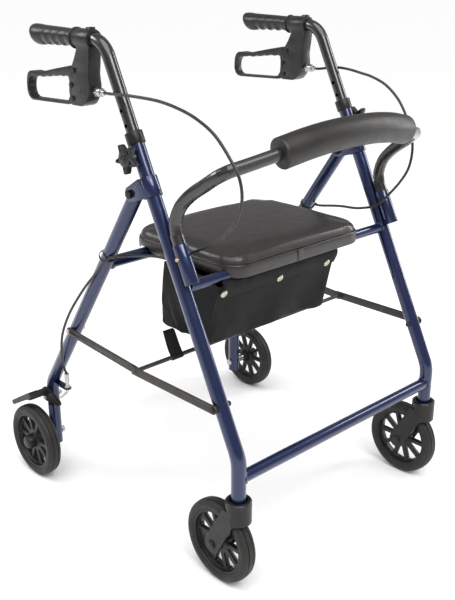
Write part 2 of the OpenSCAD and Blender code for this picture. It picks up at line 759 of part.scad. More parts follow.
module brake_housing(side) {
    color("dimgray") on_side(side) difference() {
        union() {
            translate([leg_x, clamp_y0, grip_z]) rotate([-90, 0, 0]) cylinder(r = 16.2, h = clamp_y1 - clamp_y0);
            translate([leg_x - 6, 47, grip_z + 10]) cube([12, 10, 9]);
            plate_x(leg_x - housing_half, leg_x + housing_half) polygon([
                [43, 876], [46, 850], [49, 832], [46.5, 813], [47.5, 806], [50.5, 798], [56, 789], [63, 782],
                [72, 778], [100, 777.5], [104, 781], [107, 800], [104, 822], [95, 843], [87, 855], [79, 870],
                [79, 884], [48, 884]]);
        }
        translate([leg_x, 0, 0]) bent_bar(longer(handle_route, 60), handle_r, handle_bend_r);
        plate_x(leg_x - slot_half, leg_x + slot_half) polygon([
            [74, 765], [130, 765], [130, 862], [96, 851], [78, 848], [76, 830], [82, 815]]);
        for (s = [screws[0], screws[1], screws[2]])
            bar_x(2, leg_x - 20, leg_x + housing_half + past, s);
        translate([leg_x, 66, cable_z]) rotate([90, 0, 0]) cylinder(r = thread_r, h = 40);
        translate([leg_x, 90, cable_z]) rotate([90, 0, 0]) cylinder(r = 1.2, h = 50);
    }
}

module housing_screws(side) {
    color("gray") on_side(side) for (s = screws) {
        bar_x(2, leg_x - housing_half, leg_x + housing_half, s);
        bar_x(4.2, leg_x + housing_half, leg_x + housing_half + 1.8, s);
        bar_x(3.6, leg_x - housing_half - 1.8, leg_x - housing_half, s);
    }
}

// Loop lever: a flat band bent to a closed loop, with an eye on the housing's top screw
module brake_lever(side) {
    pivot = [lever_pivot_y, lever_pivot_z];
    x0 = leg_x - lever_half;
    x1 = leg_x + lever_half;
    color("dimgray") on_side(side) difference() {
        union() {
            bar_x(7, x0, x1, pivot);
            plate_x(x0, x1) polygon([
                pivot + [-1, 6], [106, 842], [150, 834], [190, 826], [206, 822.5], [213, 823.6], [226, 824.4],
                [237, 823], [244, 818.5], [248, 810], [249.5, 800], [249.5, 788], [246, 779], [239, 773.6],
                [231, 772], [170, 774], [118, 776], [110, 777.5], [104.8, 784], [104.2, 800], [104, 812],
                [99, 826], pivot + [0, -6]]);
        }
        plate_x(x0 - past, x1 + past) polygon([
            [118, 825], [130, 822], [137, 824], [151, 820.5], [158, 822], [172, 818], [179, 819.5],
            [194, 815.5], [201, 817], [216, 814.5], [230, 814], [238, 811], [242.5, 806], [245, 797],
            [244.5, 788], [241, 781], [235, 777.2], [228, 776.4], [172, 778.2], [128, 779.6], [117, 783.4],
            [111.6, 791], [110.6, 802], [110.6, 814], [112, 822]]);
        bar_x(2 + run_gap, x0 - past, x1 + past, pivot);
    }
}

module cable_adjuster(side) {
    color("silver") on_side(side) translate([leg_x, 0, cable_z]) rotate([90, 0, 0]) difference() {
        union() {
            translate([0, 0, -60]) cylinder(r = thread_r, h = 30);
            translate([0, 0, -45]) cylinder(r = 8, h = 5, $fn = 6);
            translate([0, 0, -40]) cylinder(r = 7.5, h = 12);
            translate([0, 0, -28]) cylinder(r1 = 5.5, r2 = 4, h = 8);
        }
        translate([0, 0, -70]) cylinder(r = 1.2, h = 60);
    }
}

module height_knob(side) {
    lobes = 5;
    step = 360 / lobes;
    star = [for (i = [0 : lobes - 1]) each [
        for (p = [[23, -8], [25, -4], [25, 4], [23, 8], [11.5, step / 2]])
            p[0] * [cos(i * step + p[1]), sin(i * step + p[1])]]];
    color("dimgray") on_side(side) translate([0, knob_at[0], knob_at[1]]) {
        translate([leg_x + handle_r + 0.3, 0, 0]) rotate([0, 90, 0]) cylinder(r = knob_bolt_r, h = 14);
        translate([leg_x + leg_r + 0.5, 0, 0]) rotate([0, 90, 0]) cylinder(r = 8, h = 12);
        translate([leg_x + leg_r + 9, 0, 0]) rotate([0, 90, 0]) linear_extrude(13) polygon(star);
        translate([leg_x + leg_r + 22, 0, 0]) rotate([0, 90, 0]) cylinder(r1 = 11, r2 = 7, h = 3);
    }
}

// ---------- brake cables ----------

// Routes of the cables' middle lines: a loop in front of the walker, past the hinge, down the rear leg
right_front_cable = [
    [-260, 19, 804], [-263, 10, 804.6], [-269, -1, 805.8], [-274, -12, 807.2], [-275.5, -26, 808.2],
    [-275, -42, 808.8], [-272, -65, 809], [-266, -125, 807], [-263, -175, 799], [-262, -213, 788],
    [-262, -250, 770], [-261, -282, 739], [-259, -299, 712], [-257, -301, 680], [-253, -285, 648], [-249, -258, 620], [-244, -216, 592], [-240, -166, 567]];
left_front_cable = [
    [260, 19, 804], [263, 10, 804.6], [269, -1, 806.4], [274, -12, 808], [275.5, -26, 808.8],
    [276, -43, 808.2], [276, -61, 806.4], [276, -81, 803.2], [275, -112, 798], [274, -147, 785.5],
    [274, -178, 761.5], [273, -201, 730], [275, -213, 700], [274, -218, 668], [268, -216, 636],
    [258, -206, 610], [247, -194, 589], [240, -178, 567]];
mid_cable_end = [267.4, 13.3, 523.3];
mid_cable = [
    [240, -160, 556], [240, -120, 545], [241, -80, 541], [243, -50, 536], [247, -22, 530], [255, 0, 526]];
low_cable = [
    [269, 15, 523], [274, 30, 510], [277, 56, 482], [280, 90, 446], [286, 130, 392], [289, 156, 343],
    [285, 172, 300], [274, 188, 264], [264, 198, 240], [260, 200, low_adjuster_top + 1]];

module cable_front(line) color("black") swept(spline(line, 3), cable_r, 8);

module cable_mid() {
    color("black") {
        swept(spline(concat([[240, -178, 567]], mid_cable, [mid_cable_end]), 3), cable_r, 8);
        swept(spline([for (p = concat([[240, -166, 567]], mid_cable, [mid_cable_end])) [-p[0], p[1], p[2]]], 3),
            cable_r, 8);
    }
}

module cable_low() {
    color("black") on_both_sides() swept(spline(low_cable, 3), cable_r, 8);
}

front_leg(R);  // front_leg_R
front_leg(L);  // front_leg_L
front_crossbar();
seat_bar();
backrest_sleeves();
hinge_brackets();
frame_bolts();
leg_collars();
backrest_tube();
backrest_pad();
caster_stems();
under_seat_bag();
cable_front(right_front_cable);  // cable_front_R
cable_front(left_front_cable);  // cable_front_L
cable_mid();
snap_button(R);  // snap_button_R
snap_button(L);  // snap_button_L
seat_board();
seat_pad();
seat_clips();
rear_leg(R);  // rear_leg_R
rear_leg(L);  // rear_leg_L
rear_crossbar();
cable_stops();
rear_bolts();
cable_adjusters_low();
cable_low();
brake_springs();
brake_arm(R);  // brake_arm_R
brake_arm(L);  // brake_arm_L
rear_tyre(R);  // rear_tyre_R
rear_tyre(L);  // rear_tyre_L
rear_rim(R);  // rear_rim_R
rear_rim(L);  // rear_rim_L
caster_fork(R);  // caster_fork_R
caster_fork(L);  // caster_fork_L
front_axle(R);  // front_axle_R
front_axle(L);  // front_axle_L
front_tyre(R);  // front_tyre_R
front_tyre(L);  // front_tyre_L
front_rim(R);  // front_rim_R
front_rim(L);  // front_rim_L
front_links();
cross_rod();
rear_links();
lift_strap();
handle_tube(R);  // handle_tube_R
handle_tube(L);  // handle_tube_L
grip(R);  // grip_R
grip(L);  // grip_L
brake_housing(R);  // brake_housing_R
brake_housing(L);  // brake_housing_L
brake_lever(R);  // brake_lever_R
brake_lever(L);  // brake_lever_L
housing_screws(R);  // housing_screws_R
housing_screws(L);  // housing_screws_L
cable_adjuster(R);  // cable_adjuster_R
cable_adjuster(L);  // cable_adjuster_L
height_knob(R);  // height_knob_R
height_knob(L);  // height_knob_L
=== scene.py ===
import json
import math

import bmesh
import bpy
from mathutils import Matrix, Vector


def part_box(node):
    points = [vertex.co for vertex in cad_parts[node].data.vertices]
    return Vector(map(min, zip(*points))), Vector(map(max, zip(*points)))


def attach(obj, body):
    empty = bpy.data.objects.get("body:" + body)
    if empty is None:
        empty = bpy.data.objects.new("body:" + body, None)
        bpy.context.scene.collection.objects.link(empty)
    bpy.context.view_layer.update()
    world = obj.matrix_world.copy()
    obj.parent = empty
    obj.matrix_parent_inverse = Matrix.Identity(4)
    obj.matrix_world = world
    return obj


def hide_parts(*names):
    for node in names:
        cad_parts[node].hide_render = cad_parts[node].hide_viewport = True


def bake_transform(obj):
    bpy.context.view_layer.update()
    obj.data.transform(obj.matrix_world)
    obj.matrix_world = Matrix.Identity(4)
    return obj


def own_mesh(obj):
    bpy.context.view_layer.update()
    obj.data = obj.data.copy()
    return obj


# Rollator walker: a blue steel frame that folds, a padded seat with a cloth bag under it, a bent backrest
# with a foam sleeve, two loop brakes with their cables, and four wheels. X runs across the walker, and the
# user stands at +Y.

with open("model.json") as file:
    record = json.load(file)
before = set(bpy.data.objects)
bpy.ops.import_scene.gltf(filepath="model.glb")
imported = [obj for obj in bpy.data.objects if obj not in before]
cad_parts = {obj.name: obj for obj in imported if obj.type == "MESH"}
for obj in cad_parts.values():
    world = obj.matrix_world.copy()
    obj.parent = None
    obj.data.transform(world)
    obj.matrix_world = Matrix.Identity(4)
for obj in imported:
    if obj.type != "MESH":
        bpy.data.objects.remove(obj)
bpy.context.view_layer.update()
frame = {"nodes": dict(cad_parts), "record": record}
NODES = frame["nodes"]
RECORD = frame["record"]
BODY_OF = {node: body for body, members in RECORD["behaviour"]["bodies"].items() for node in members}
SLOT_OF = {part["node"]: part["material_slot"] for part in RECORD["subparts"]}
SIDES = {"R": -1, "L": 1}

# Sizes and places that several pieces share, in metres and radians
LEG_X = 0.26
LEG_R = 0.0127
FRONT_LEAN = -math.atan2(0.2474, 0.496)
REAR_LEAN = math.atan2(0.3139, 0.4592)
CABLE_R = 0.0025
FINE_EDGE_DEGREES = 32


def middle_of(node):
    low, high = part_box(node)
    return (low + high) / 2


# ---------- camera, lights and floor ----------

def add_camera():
    bpy.ops.object.camera_add(location=(-1.1217, -1.1928, 1.0048))
    camera = bpy.context.object
    towards_the_viewer = Vector((-0.6388, -0.6812, 0.3579))
    camera.rotation_euler = towards_the_viewer.to_track_quat("Z", "Y").to_euler()
    camera.data.lens = 52.88
    camera.data.sensor_width = 36
    bpy.context.scene.camera = camera


def add_softbox(name, at, size, power):
    """Rectangular lamp that faces the middle of the walker."""
    bpy.ops.object.light_add(type="AREA", location=at)
    lamp = bpy.context.object
    lamp.name = name
    lamp.data.shape = "RECTANGLE"
    lamp.data.size = size[0]
    lamp.data.size_y = size[1]
    lamp.data.energy = power
    away = Vector(at) - Vector((0, 0, 0.5))
    lamp.rotation_euler = away.to_track_quat("Z", "Y").to_euler()


def add_studio():
    world = bpy.data.worlds.new("studio")
    bpy.context.scene.world = world
    world.use_nodes = True
    backdrop = world.node_tree.nodes["Background"]
    backdrop.inputs["Color"].default_value = (1, 1, 1, 1)
    backdrop.inputs["Strength"].default_value = 0.32
    bpy.context.scene.view_settings.view_transform = "Standard"
    add_softbox("key_softbox", (-0.6, -2.2, 2.6), (1.2, 0.8), 26)
    add_softbox("side_softbox", (2.4, -0.9, 1.5), (0.4, 2.0), 30)
    add_softbox("rear_softbox", (-1.6, 1.9, 2.2), (1.0, 1.0), 24)
    bpy.ops.object.light_add(type="SUN", location=(0, 0, 3))
    overhead = bpy.context.object
    overhead.name = "overhead_light"
    overhead.data.energy = 2.6
    overhead.data.angle = math.radians(60)
    overhead.rotation_euler = Vector((-0.25, -0.3, 1)).to_track_quat("Z", "Y").to_euler()
    just_under_the_wheels = -0.0004
    bpy.ops.mesh.primitive_plane_add(size=120, location=(0, 0, just_under_the_wheels))
    floor = bpy.context.object
    floor.name = "floor"
    floor.data.materials.append(floor_paper())


# ---------- materials ----------

def add_material(name, colour, roughness, sockets=None):
    """Material whose shader has those constants. Returns it, its node tree and its shader."""
    material = bpy.data.materials.new(name)
    material.use_nodes = True
    tree = material.node_tree
    shader = tree.nodes["Principled BSDF"]
    shader.inputs["Base Color"].default_value = (*colour, 1)
    shader.inputs["Roughness"].default_value = roughness
    for socket, value in (sockets or {}).items():
        shader.inputs[socket].default_value = value
    return material, tree, shader


def add_node(tree, kind, sockets, **settings):
    """Node with its settings, each named socket given a value or linked to another node's output."""
    node = tree.nodes.new(kind)
    for setting, value in settings.items():
        setattr(node, setting, value)
    for socket, value in sockets.items():
        if isinstance(value, bpy.types.NodeSocket):
            tree.links.new(value, node.inputs[socket])
        else:
            node.inputs[socket].default_value = value
    return node


def surface_place(tree, own_map=False):
    """Where a point lies on its piece: its metres in space, or in the piece's own UV map."""
    return tree.nodes.new("ShaderNodeTexCoord").outputs["UV" if own_map else "Object"]


def patches(tree, place, size, detail=2.0):
    """Soft noise, with patches of about that size in metres."""
    sockets = {"Vector": place, "Scale": 1 / size, "Detail": detail}
    return add_node(tree, "ShaderNodeTexNoise", sockets).outputs[0]


def cells(tree, place, size):
    """Distance to the nearest of scattered points, with cells of about that size in metres."""
    return add_node(tree, "ShaderNodeTexVoronoi", {"Vector": place, "Scale": 1 / size}).outputs["Distance"]


def colour_between(tree, amount, low, high, start=0.3, end=0.7):
    ramp = add_node(tree, "ShaderNodeValToRGB", {"Fac": amount})
    ramp.color_ramp.elements[0].position = start
    ramp.color_ramp.elements[1].position = end
    ramp.color_ramp.elements[0].color = (*low, 1)
    ramp.color_ramp.elements[1].color = (*high, 1)
    return ramp.outputs["Color"]


def value_between(tree, amount, low, high, start=0.3, end=0.7):
    sockets = {"Value": amount, "From Min": start, "From Max": end, "To Min": low, "To Max": high}
    return add_node(tree, "ShaderNodeMapRange", sockets).outputs["Result"]


def relief(tree, height, depth, under=None):
    """Bump of that depth in metres, over another bump if one is given."""
    sockets = {"Height": height, "Distance": depth, "Strength": 1.0}
    if under:
        sockets["Normal"] = under
    return add_node(tree, "ShaderNodeBump", sockets).outputs["Normal"]


def finish_shader(tree, shader, colour=None, roughness=None, normal=None):
    for socket, value in (("Base Color", colour), ("Roughness", roughness), ("Normal", normal)):
        if value:
            tree.links.new(value, shader.inputs[socket])


def floor_paper():
    material, tree, shader = add_material("floor_paper", (0.9, 0.9, 0.9), 0.9, {"Specular IOR Level": 0.1})
    grain = patches(tree, surface_place(tree), 0.004)
    finish_shader(tree, shader, colour=colour_between(tree, grain, (0.9, 0.9, 0.9), (0.93, 0.93, 0.93)))
    return material


def metallic_paint():
    """Blue metallic paint under a clear coat, with a fine flake and a slight orange peel."""
    sockets = {"Metallic": 0.5, "Coat Weight": 0.8, "Coat Roughness": 0.04}
    material, tree, shader = add_material("blue_metallic_paint", (0.01, 0.018, 0.085), 0.3, sockets)
    place = surface_place(tree)
    flake = cells(tree, place, 0.0007)
    colour = colour_between(tree, flake, (0.011, 0.024, 0.1), (0.006, 0.013, 0.055), 0.1, 0.8)
    peel = relief(tree, patches(tree, place, 0.006), 0.00001)
    finish_shader(tree, shader, colour, value_between(tree, patches(tree, place, 0.03), 0.26, 0.34), peel)
    return material


def black_gloss():
    """Black enamel on the handle and backrest tubes."""
    sockets = {"Coat Weight": 0.8, "Coat Roughness": 0.06}
    material, tree, shader = add_material("black_gloss_enamel", (0.012, 0.011, 0.011), 0.3, sockets)
    place = surface_place(tree)
    colour = colour_between(tree, patches(tree, place, 0.05), (0.007, 0.006, 0.006), (0.013, 0.011, 0.01))
    peel = relief(tree, patches(tree, place, 0.006), 0.00001)
    finish_shader(tree, shader, colour, value_between(tree, patches(tree, place, 0.012), 0.24, 0.36), peel)
    return material


def satin_steel():
    """Dark satin coat on the flat fold links and their rod."""
    material, tree, shader = add_material("dark_satin_steel", (0.045, 0.04, 0.036), 0.4, {"Metallic": 0.3})
    place = surface_place(tree)
    mottle = patches(tree, place, 0.02, 4)
    colour = colour_between(tree, mottle, (0.034, 0.03, 0.027), (0.056, 0.049, 0.043))
    skin = relief(tree, patches(tree, place, 0.0012), 0.00004)
    finish_shader(tree, shader, colour, value_between(tree, patches(tree, place, 0.008), 0.34, 0.5), skin)
    return material


def bare_metal(name, colour, dull, roughness):
    """Plated metal with faint turning marks and duller patches."""
    material, tree, shader = add_material(name, colour, roughness, {"Metallic": 1.0})
    place = surface_place(tree)
    tint = colour_between(tree, patches(tree, place, 0.006, 4), dull, colour)
    marks = relief(tree, patches(tree, place, 0.0006), 0.00003)
    uneven = value_between(tree, patches(tree, place, 0.003), roughness - 0.06, roughness + 0.12)
    finish_shader(tree, shader, tint, uneven, marks)
    return material


def moulded_plastic(name, colour, roughness, grain_size):
    """Injection-moulded plastic: spark-eroded grain, and a slightly cloudy gloss."""
    material, tree, shader = add_material(name, colour, roughness, {"Specular IOR Level": 0.36})
    place = surface_place(tree)
    low = tuple(0.8 * part for part in colour)
    high = tuple(1.25 * part for part in colour)
    tint = colour_between(tree, patches(tree, place, 0.015, 3), low, high)
    grain = relief(tree, patches(tree, place, grain_size, 1), 0.00002)
    uneven = value_between(tree, patches(tree, place, 0.01), roughness - 0.06, roughness + 0.06)
    finish_shader(tree, shader, tint, uneven, grain)
    return material


def tyre_rubber():
    """Solid tyre: matt, with a dusty bloom and a fine skin."""
    sockets = {"Specular IOR Level": 0.4}
    material, tree, shader = add_material("tyre_rubber", (0.018, 0.017, 0.016), 0.55, sockets)
    place = surface_place(tree)
    bloom = patches(tree, place, 0.01, 5)
    colour = colour_between(tree, bloom, (0.011, 0.0105, 0.010), (0.02, 0.0185, 0.017))
    skin = relief(tree, patches(tree, place, 0.0005, 2), 0.00008)
    finish_shader(tree, shader, colour, value_between(tree, patches(tree, place, 0.02), 0.46, 0.64), skin)
    return material


def seat_vinyl():
    """Brown-black upholstery vinyl: a pebbled grain, broad unevenness and a soft sheen."""
    sockets = {"Specular IOR Level": 0.5, "Coat Weight": 0.35, "Coat Roughness": 0.22}
    material, tree, shader = add_material("upholstery_vinyl", (0.03, 0.026, 0.024), 0.42, sockets)
    place = surface_place(tree)
    mottle = patches(tree, place, 0.03, 4)
    colour = colour_between(tree, mottle, (0.0155, 0.0125, 0.0112), (0.0195, 0.016, 0.0142))
    creases = relief(tree, patches(tree, place, 0.04, 1), 0.00012)
    pebbles = relief(tree, cells(tree, place, 0.0012), 0.00005, under=creases)
    finish_shader(tree, shader, colour, value_between(tree, patches(tree, place, 0.02), 0.38, 0.5), pebbles)
    return material


def foam_skin():
    """Smooth closed skin of the backrest's foam sleeve."""
    material, tree, shader = add_material("foam_skin", (0.03, 0.028, 0.026), 0.46)
    place = surface_place(tree)
    mottle = patches(tree, place, 0.04, 3)
    colour = colour_between(tree, mottle, (0.0135, 0.0115, 0.0105), (0.019, 0.0165, 0.015))
    waves = relief(tree, patches(tree, place, 0.02, 2), 0.0002)
    pores = relief(tree, patches(tree, place, 0.0008, 2), 0.00008, under=waves)
    finish_shader(tree, shader, colour, value_between(tree, patches(tree, place, 0.02), 0.4, 0.52), pores)
    return material


def woven_cloth(name, colour, thread, roughness):
    """Plain weave that follows the piece's own UV map, in metres, with threads of that width."""
    material, tree, shader = add_material(name, colour, roughness, {"Specular IOR Level": 0.2})
    place = surface_place(tree, own_map=True)
    waves = []
    for direction in ("X", "Y"):
        wave = add_node(tree, "ShaderNodeTexWave", {"Vector": place, "Scale": 0.314 / thread},
                        bands_direction=direction)
        waves.append(wave.outputs["Fac"])
    weave = add_node(tree, "ShaderNodeMath", {0: waves[0], 1: waves[1]}, operation="MULTIPLY").outputs[0]
    uneven = patches(tree, surface_place(tree), 0.02, 4)
    low = tuple(0.75 * part for part in colour)
    high = tuple(1.35 * part for part in colour)
    crumple = relief(tree, patches(tree, surface_place(tree), 0.01, 3), 0.0006)
    normal = relief(tree, weave, thread * 0.3, under=crumple)
    tint = colour_between(tree, uneven, low, high)
    threads = value_between(tree, weave, roughness + 0.1, roughness - 0.1, 0, 1)
    finish_shader(tree, shader, tint, threads, normal)
    return material


def cable_jacket():
    material, tree, shader = add_material("cable_jacket", (0.016, 0.015, 0.015), 0.36)
    place = surface_place(tree)
    colour = colour_between(tree, patches(tree, place, 0.02), (0.012, 0.011, 0.011), (0.022, 0.02, 0.019))
    skin = relief(tree, patches(tree, place, 0.002), 0.00005)
    finish_shader(tree, shader, colour, value_between(tree, patches(tree, place, 0.01), 0.3, 0.42), skin)
    return material


def make_materials():
    """One finish for each material slot of the record."""
    return {
        "frame_blue": metallic_paint(),
        "black_tube": black_gloss(),
        "steel_link": satin_steel(),
        "zinc": bare_metal("zinc_plate", (0.62, 0.61, 0.58), (0.45, 0.44, 0.42), 0.3),
        "brass_button": bare_metal("brass_plate", (0.72, 0.56, 0.32), (0.5, 0.38, 0.2), 0.26),
        "dark_bolt": bare_metal("blackened_steel", (0.06, 0.058, 0.055), (0.035, 0.034, 0.033), 0.38),
        "black_plastic": moulded_plastic("black_moulding", (0.0115, 0.0098, 0.0092), 0.4, 0.0006),
        "grey_plastic": moulded_plastic("grey_moulding", (0.02, 0.0198, 0.0205), 0.32, 0.0006),
        "tyre_rubber": tyre_rubber(),
        "vinyl": seat_vinyl(),
        "nylon": woven_cloth("woven_nylon", (0.009, 0.009, 0.0098), 0.0007, 0.62),
        "cable_black": cable_jacket(),
    }


# ---------- workshop ----------

def pick_only(piece):
    bpy.ops.object.select_all(action="DESELECT")
    piece.select_set(True)
    bpy.context.view_layer.objects.active = piece


def apply_modifiers(piece):
    pick_only(piece)
    for modifier in list(piece.modifiers):
        bpy.ops.object.modifier_apply(modifier=modifier.name)


def add_modifier(piece, kind, **settings):
    modifier = piece.modifiers.new(kind.lower(), kind)
    for setting, value in settings.items():
        setattr(modifier, setting, value)
    return modifier


def edit(piece):
    """Goes into edit mode on one piece with nothing selected."""
    pick_only(piece)
    bpy.ops.object.mode_set(mode="EDIT")
    bpy.ops.mesh.select_all(action="DESELECT")


def pick_edges(piece, wanted):
    """In edit mode, selects only the edges whose two end points pass the test."""
    bpy.ops.mesh.select_mode(type="EDGE")
    bpy.ops.mesh.select_all(action="DESELECT")
    shape = bmesh.from_edit_mesh(piece.data)
    for line in shape.edges:
        if wanted(line.verts[0].co, line.verts[1].co):
            line.select_set(True)
    bmesh.update_edit_mesh(piece.data)


def leave_edit():
    bpy.ops.object.mode_set(mode="OBJECT")


def place_in_mesh(piece):
    """Puts the piece's place into its mesh, so that its object sits at the origin."""
    pick_only(piece)
    bpy.ops.object.transform_apply(location=True, rotation=True, scale=True)


def face_outward(piece):
    edit(piece)
    bpy.ops.mesh.select_all(action="SELECT")
    bpy.ops.mesh.remove_doubles(threshold=0.000002)
    bpy.ops.mesh.normals_make_consistent(inside=False)
    leave_edit()


def smooth(piece, degrees=35):
    pick_only(piece)
    bpy.ops.object.shade_smooth_by_angle(angle=math.radians(degrees))


def fit(piece, slot, body=None, replaced=()):
    """Gives a finished piece its material and the body it moves with, and hides the CAD nodes that it stands
    for.
    """
    piece.data.materials.clear()
    piece.data.materials.append(MATERIALS[slot])
    if body:
        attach(piece, body)
    if replaced:
        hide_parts(*replaced)
    return piece


def new_piece(name, mesh):
    piece = bpy.data.objects.new(name, mesh)
    bpy.context.scene.collection.objects.link(piece)
    return piece


def loft(name, rings, closed=True, capped=True):
    """Skin over rings of points. Its UV map is in metres: U runs round each ring, and V from ring to ring."""
    shell = bmesh.new()
    rows = [[shell.verts.new(point) for point in ring] for ring in rings]
    uv = shell.loops.layers.uv.new("UVMap")
    count = len(rings[0])
    spans = count if closed else count - 1
    widest = max(rings, key=lambda ring: sum((ring[i] - ring[i - 1]).length for i in range(1, count)))
    across = [0]
    for i in range(spans):
        across.append(across[-1] + (widest[(i + 1) % count] - widest[i]).length)
    along = [0]
    for before, after in zip(rings, rings[1:]):
        along.append(along[-1] + sum((b - a).length for a, b in zip(before, after)) / count)
    for row in range(len(rows) - 1):
        for i in range(spans):
            j = (i + 1) % count
            face = shell.faces.new((rows[row][i], rows[row][j], rows[row + 1][j], rows[row + 1][i]))
            corners = ((i, row), (i + 1, row), (i + 1, row + 1), (i, row + 1))
            for loop, (u, v) in zip(face.loops, corners):
                loop[uv].uv = (across[u], along[v])
    if capped and closed:
        for ring in (rows[0], rows[-1]):
            cap = shell.faces.new(ring)
            for loop in cap.loops:
                loop[uv].uv = (loop.vert.co.x, loop.vert.co.y)
    mesh = bpy.data.meshes.new(name)
    shell.to_mesh(mesh)
    shell.free()
    return new_piece(name, mesh)


def smooth_route(points, steps):
    """Catmull-Rom curve through the points, with that many steps between each two."""
    ends = [2 * points[0] - points[1], *points, 2 * points[-1] - points[-2]]
    route = []
    for a, b, c, d in zip(ends, ends[1:], ends[2:], ends[3:]):
        for k in range(steps):
            t = k / steps
            route.append(0.5 * ((2 * b) + (c - a) * t + (2 * a - 5 * b + 4 * c - d) * t ** 2
                                + (3 * b - a - 3 * c + d) * t ** 3))
    route.append(points[-1])
    return route


def rings_along(route, section):
    """Rings carried along a route without twist. section(k) gives ring k's (across, up) offsets."""
    last = len(route) - 1
    ways = [(route[min(i + 1, last)] - route[max(i - 1, 0)]).normalized() for i in range(len(route))]
    across = ways[0].orthogonal().normalized() if abs(ways[0].z) > 0.9 else ways[0].cross(Vector((0, 0, 1)))
    rings = []
    for k, (at, way) in enumerate(zip(route, ways)):
        across = (across - way * across.dot(way)).normalized()
        up = across.cross(way)
        rings.append([at + across * u + up * v for u, v in section(k)])
    return rings


def round_section(radius, count):
    turn = 2 * math.pi / count
    return [(radius * math.cos(i * turn), radius * math.sin(i * turn)) for i in range(count)]


def tube_along(name, route, radius, count=12):
    """Round solid along a route, with slightly rounded ends."""
    def section(k):
        at_end = k in (0, len(route) - 1)
        return round_section(radius * (0.72 if at_end else 1), count)
    piece = loft(name, rings_along(route, section))
    face_outward(piece)
    smooth(piece, 50)
    return piece


def turned(name, outline, at, steps=64):
    """Part turned about a line along X. The outline is a closed or axis-to-axis list of (radius, x)."""
    mesh = bpy.data.meshes.new(name)
    closes = outline[0][0] > 0
    count = len(outline)
    edges = [(i, (i + 1) % count) for i in range(count if closes else count - 1)]
    mesh.from_pydata([at + Vector((x, radius, 0)) for radius, x in outline], edges, [])
    piece = new_piece(name, mesh)
    edit(piece)
    bpy.ops.mesh.select_all(action="SELECT")
    bpy.ops.mesh.spin(steps=steps, angle=2 * math.pi, center=at, axis=(1, 0, 0))
    bpy.ops.mesh.select_all(action="SELECT")
    bpy.ops.mesh.remove_doubles(threshold=0.00001)
    bpy.ops.mesh.normals_make_consistent(inside=False)
    leave_edit()
    smooth(piece, FINE_EDGE_DEGREES)
    return piece


def softened(node, bevel, clamped=False):
    """Copy of a CAD node with its edges rounded as moulding, casting or tumbling leaves them."""
    piece = new_piece(node + "_rounded", NODES[node].data.copy())
    edit(piece)
    bpy.ops.mesh.customdata_custom_splitnormals_clear()
    bpy.ops.mesh.select_all(action="SELECT")
    bpy.ops.mesh.remove_doubles(threshold=0.000004)
    leave_edit()
    add_modifier(piece, "BEVEL", width=bevel, segments=2, limit_method="ANGLE", miter_outer="MITER_ARC",
                 angle_limit=math.radians(FINE_EDGE_DEGREES), use_clamp_overlap=clamped)
    apply_modifiers(piece)
    smooth(piece, FINE_EDGE_DEGREES)
    return fit(piece, SLOT_OF[node], BODY_OF[node], [node])


# ---------- frame and fittings ----------

def paint_cad_nodes():
    """Every CAD node takes its slot's finish; the ones that stay in view keep it."""
    for name, node in NODES.items():
        node.data.materials.clear()
        node.data.materials.append(MATERIALS[SLOT_OF[name]])


# Edge rounding of each kind of part, in metres
ROUNDING = {
    "hinge_brackets": 0.0006, "backrest_sleeves": 0.0005, "leg_collars": 0.0008, "seat_clips": 0.0008,
    "front_links": 0.0005, "rear_links": 0.0005, "cable_stops": 0.0005, "frame_bolts": 0.0005,
    "rear_bolts": 0.0004, "cable_adjusters_low": 0.0003, "brake_housing": 0.0014, "brake_lever": 0.001,
    "cable_adjuster": 0.0004, "height_knob": 0.0024, "front_axle": 0.0006, "front_rim": 0.0008,
    "rear_rim": 0.0008, "housing_screws": 0.0004, "snap_button": 0.0006,
}


def round_the_edges():
    for name, bevel in ROUNDING.items():
        for node in (name, name + "_R", name + "_L"):
            if node in NODES:
                softened(node, bevel, clamped=name.startswith("brake"))


def weld_bead(name, body, bar_r, at, lean):
    """Bead where a bar along X meets the inside of a leg that leans in the YZ plane by that angle."""
    bead_off = 0.0006
    sunk = 0.0004
    side = 1 if at.x > 0 else -1
    route = []
    count = 48
    for k in range(count):
        turn = 2 * math.pi * k / count
        dy = (bar_r + bead_off) * math.cos(turn)
        dz = (bar_r + bead_off) * math.sin(turn)
        off = dy * math.cos(lean) - dz * math.sin(lean)
        depth = math.sqrt(max(LEG_R ** 2 - off ** 2, 0)) + sunk
        route.append(Vector((at.x - side * depth, at.y + dy, at.z + dz)))
    rings = []
    for k in range(count):
        way = (route[(k + 1) % count] - route[k - 1]).normalized()
        out = (route[k] - Vector((route[k].x, at.y, at.z))).normalized()
        side_way = way.cross(out)
        radius = 0.0017 + 0.0003 * math.cos(k * math.pi)
        rings.append([route[k] + out * u + side_way * v for u, v in round_section(radius, 8)])
    rings.append(rings[0])
    bead = loft(name, rings, capped=False)
    face_outward(bead)
    smooth(bead, 60)
    fit(bead, "frame_blue", body)


def add_welds():
    bars = (("front_crossbar", 0, "root"), ("seat_bar", FRONT_LEAN, "root"),
            ("rear_crossbar", REAR_LEAN, "rear_frame"))
    for side, sign in SIDES.items():
        for node, lean, body in bars:
            low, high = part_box(node)
            at = middle_of(node)
            at.x = LEG_X * sign
            weld_bead(f"weld_{node}_{side}", body, (high.z - low.z) / 2, at, lean)


# ---------- wheels ----------

